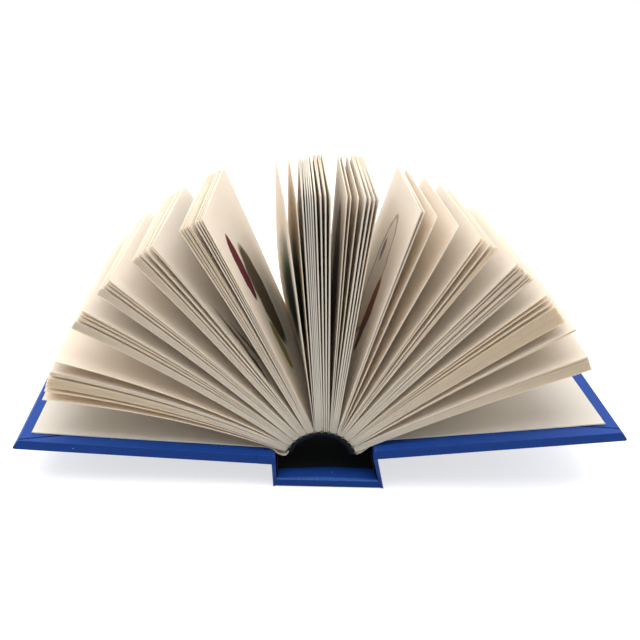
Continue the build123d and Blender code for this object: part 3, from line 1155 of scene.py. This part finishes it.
def arched_strip(bm, block, depth, overhang, half_height, waviness):
    """Adds a strip under the arched back, from tail to head. It goes past both ends of the arch by an
    overhang (radians), and is out of true by a waviness."""
    centre, radius = arch(block)
    first, last = arch_ends(block)
    first, last = first - overhang, last + overhang
    for vert, (along, up) in sheet_grid(bm, steps=36, rows=3).items():
        angle = first + (last - first) * along
        y = 2 * half_height * (up - 0.5)
        wave = noise.noise(Vector((angle * 3, y * 40, (radius - depth) * 900))) * waviness
        vert.co = on_arch(centre, angle, radius - depth + wave)
        vert.co.y = y


def back_lining(block, glued):
    """Mull that is pasted along the backs of all gatherings."""
    bm = bmesh.new()
    half_height = block.height / 2 - 0.4 * MM
    arched_strip(bm, block, depth=0.65 * MM, overhang=0.06, half_height=half_height, waviness=0.0)
    piece = new_piece("back_lining", bm, [glued])
    give_thickness(piece, 1.0 * MM)
    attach(piece, "spine")
    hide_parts("spine_lining")


def back_mull(block, woven):
    """Two more strips of mull under the pasted one, a little shorter and not quite flat."""
    bm = bmesh.new()
    half_height = block.height / 2 - 0.7 * MM
    for depth in (1.4 * MM, 1.85 * MM):
        arched_strip(bm, block, depth, overhang=0.05, half_height=half_height, waviness=0.12 * MM)
    piece = new_piece("back_mull", bm, [woven])
    give_thickness(piece, 0.2 * MM)
    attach(piece, "spine")
    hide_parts("spine_lining")


def mull_fringe(block, cotton):
    """Wisps of frayed thread at the tail, between the gatherings and at both ends of the arch."""
    centre, radius = arch(block)
    first, last = arch_ends(block)
    bm = bmesh.new()
    chance = random.Random(7)
    for seam in range(len(FAN) + 1):
        angle = first + (last - first) * seam / len(FAN)
        at_end = seam in (0, len(FAN))
        for strand in range(5 if at_end else 4):
            wisp = bmesh.ops.create_cone(
                bm, segments=5, radius1=0.16 * MM, radius2=0.04 * MM, depth=1.0, cap_ends=True
            )
            # Each wisp leans to one side of its gap, and out over the tail.
            length = chance.uniform(0.7, 1.5) * MM * (1.2 if at_end else 1.0)
            lean = angle + chance.uniform(-1.2, 1.2)
            foot = on_arch(centre, angle + chance.uniform(-0.02, 0.02), radius - 0.1 * MM)
            foot.y = -block.height / 2 - 0.02 * MM
            turn = Matrix.Rotation(lean, 4, "Y") @ Matrix.Rotation(chance.uniform(0.2, 0.9), 4, "X")
            place = Matrix.Translation(foot) @ turn @ Matrix.Translation((0, 0, length * 0.35))
            bmesh.ops.scale(bm, vec=(1, 1, length), verts=wisp["verts"])
            bmesh.ops.transform(bm, matrix=place, verts=wisp["verts"])
    piece = new_piece("mull_fringe", bm, [cotton])
    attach(piece, "spine")


class BOOK_OT_lining(bpy.types.Operator):
    """Lines the arched backs of the gatherings, with frayed ends between them"""

    bl_idname = "book.lining"
    bl_label = "Lining and Frayed Ends"

    def execute(self, context):
        case, block = context.scene.book_case, context.scene.book_block
        # Glued mull, black with paste: matt and open.
        glued = matt_surface(
            "mull_glued",
            tuple(case.paste),
            roughness=0.8,
            streak=0.4,
            grain_size=0.6 * MM,
            bump_height=0.08 * MM,
        )
        back_lining(block, glued)
        # Navy mull, woven: a slightly lighter band under the glued one.
        woven = matt_surface(
            "mull_woven",
            tuple(case.mull),
            roughness=0.8,
            streak=0.35,
            grain_size=0.5 * MM,
            bump_height=0.08 * MM,
        )
        back_mull(block, woven)
        # Frayed cotton ends, spun and cut: dull grey wisps.
        cotton = matt_surface(
            "cotton_frayed",
            tuple(case.thread),
            roughness=0.9,
            streak=0.3,
            grain_size=0.4 * MM,
            bump_height=0.03 * MM,
        )
        mull_fringe(block, cotton)
        return {"FINISHED"}


# Making the stage


def lay_floor(stage):
    """Matt painted floor: pale in the light, and close to white where it is plainly seen."""
    material, tree = new_material("floor_matt")
    pale = add_node(tree, "ShaderNodeBsdfDiffuse", inputs={"Color": tuple(stage.floor)})
    lift = add_node(
        tree, "ShaderNodeMath", {"operation": "MULTIPLY"}, {0: seen_directly(tree), 1: stage.floor_glow}
    )
    white = add_node(tree, "ShaderNodeEmission", inputs={"Strength": lift.outputs["Value"]})
    both = add_node(
        tree, "ShaderNodeAddShader", inputs={0: pale.outputs["BSDF"], 1: white.outputs["Emission"]}
    )
    add_node(tree, "ShaderNodeOutputMaterial", inputs={"Surface": both.outputs["Shader"]})
    bm = bmesh.new()
    bmesh.ops.create_grid(bm, x_segments=1, y_segments=1, size=3.0)
    floor = new_piece("floor", bm, [material])


def light_room(scene, stage):
    """Even light all round that is weaker from the tail end, and shows as plain white."""
    world = bpy.data.worlds.new("studio")
    world.use_nodes = True
    tree = world.node_tree
    tree.nodes.clear()
    direction = add_node(tree, "ShaderNodeTexCoord").outputs["Generated"]
    parts = add_node(tree, "ShaderNodeSeparateXYZ", inputs={"Vector": direction})
    light = add_node(
        tree,
        "ShaderNodeMapRange",
        {"interpolation_type": "SMOOTHSTEP"},
        {
            "Value": parts.outputs["Y"],
            "From Min": -0.9,
            "From Max": 0.2,
            "To Min": stage.front_light,
            "To Max": stage.room_light,
        },
    )
    strength = add_node(
        tree,
        "ShaderNodeMix",
        {"data_type": "FLOAT"},
        {0: seen_directly(tree), 2: light.outputs["Result"], 3: 1.0},
    )
    sky = add_node(
        tree, "ShaderNodeBackground", inputs={"Color": (1, 1, 1, 1), "Strength": strength.outputs[0]}
    )
    add_node(tree, "ShaderNodeOutputWorld", inputs={"Surface": sky.outputs["Background"]})
    scene.world = world


def hang_lamp(scene, stage):
    """Large square lamp over the book."""
    lamp = bpy.data.lights.new("soft_lamp", "AREA")
    lamp.shape = "SQUARE"
    lamp.size = stage.lamp_size
    lamp.energy = stage.lamp_power
    light = bpy.data.objects.new("soft_lamp", lamp)
    light.matrix_world = Matrix.Translation(stage.lamp_place) @ Matrix.Rotation(stage.lamp_turn, 4, "Y")
    scene.collection.objects.link(light)


def place_camera(scene, stage):
    """Camera at the photograph's viewing angle."""
    pitch, yaw = stage.camera_pitch, stage.camera_yaw
    forward = Vector((-sin(yaw) * cos(pitch), cos(yaw) * cos(pitch), -sin(pitch)))
    right = Vector((cos(yaw), sin(yaw), 0))
    level = Matrix((right, right.cross(forward), -forward)).transposed()
    turn = level @ Matrix.Rotation(stage.camera_roll, 3, "Z")
    data = bpy.data.cameras.new("camera")
    data.lens = stage.lens
    data.sensor_width = 36.0
    data.clip_start = 0.01
    camera = bpy.data.objects.new("camera", data)
    camera.matrix_world = Matrix.Translation(stage.camera_place) @ turn.to_4x4()
    scene.collection.objects.link(camera)
    scene.camera = camera


class BOOK_OT_stage(bpy.types.Operator):
    """Sets the pale floor, the soft light and the camera"""

    bl_idname = "book.stage"
    bl_label = "Stage"

    def execute(self, context):
        scene, stage = context.scene, context.scene.book_stage
        scene.view_settings.view_transform = "Standard"
        lay_floor(stage)
        light_room(scene, stage)
        hang_lamp(scene, stage)
        place_camera(scene, stage)
        return {"FINISHED"}


# Listing and running the steps


class BOOK_PT_panel(bpy.types.Panel):
    """Lists the steps that build the book, with the sizes and colours that they use"""

    bl_idname = "BOOK_PT_panel"
    bl_label = "Open Book"
    bl_space_type = "VIEW_3D"
    bl_region_type = "UI"
    bl_category = "Book"

    def draw(self, context):
        for group in ("book_case", "book_block", "book_stage"):
            settings = getattr(context.scene, group)
            box = self.layout.box()
            for name in settings.__annotations__:
                box.prop(settings, name)
        for step in STEPS:
            self.layout.operator(step.bl_idname)


STEPS = (
    BOOK_OT_stage,
    BOOK_OT_covers,
    BOOK_OT_spine,
    BOOK_OT_endpapers,
    BOOK_OT_lining,
    BOOK_OT_leaves,
)
SETTINGS = {"book_case": BookCaseSettings, "book_block": BookBlockSettings, "book_stage": BookStageSettings}


def register():
    for name, settings in SETTINGS.items():
        bpy.utils.register_class(settings)
        setattr(bpy.types.Scene, name, PointerProperty(type=settings))
    for item in (*STEPS, BOOK_PT_panel):
        bpy.utils.register_class(item)


def unregister():
    for item in reversed((*STEPS, BOOK_PT_panel)):
        bpy.utils.unregister_class(item)
    for name, settings in SETTINGS.items():
        delattr(bpy.types.Scene, name)
        bpy.utils.unregister_class(settings)


def main():
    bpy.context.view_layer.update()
    register()
    bpy.ops.book.stage()
    bpy.ops.book.covers()
    bpy.ops.book.spine()
    bpy.ops.book.endpapers()
    bpy.ops.book.lining()
    bpy.ops.book.leaves()


if __name__ == "__main__":
    main()
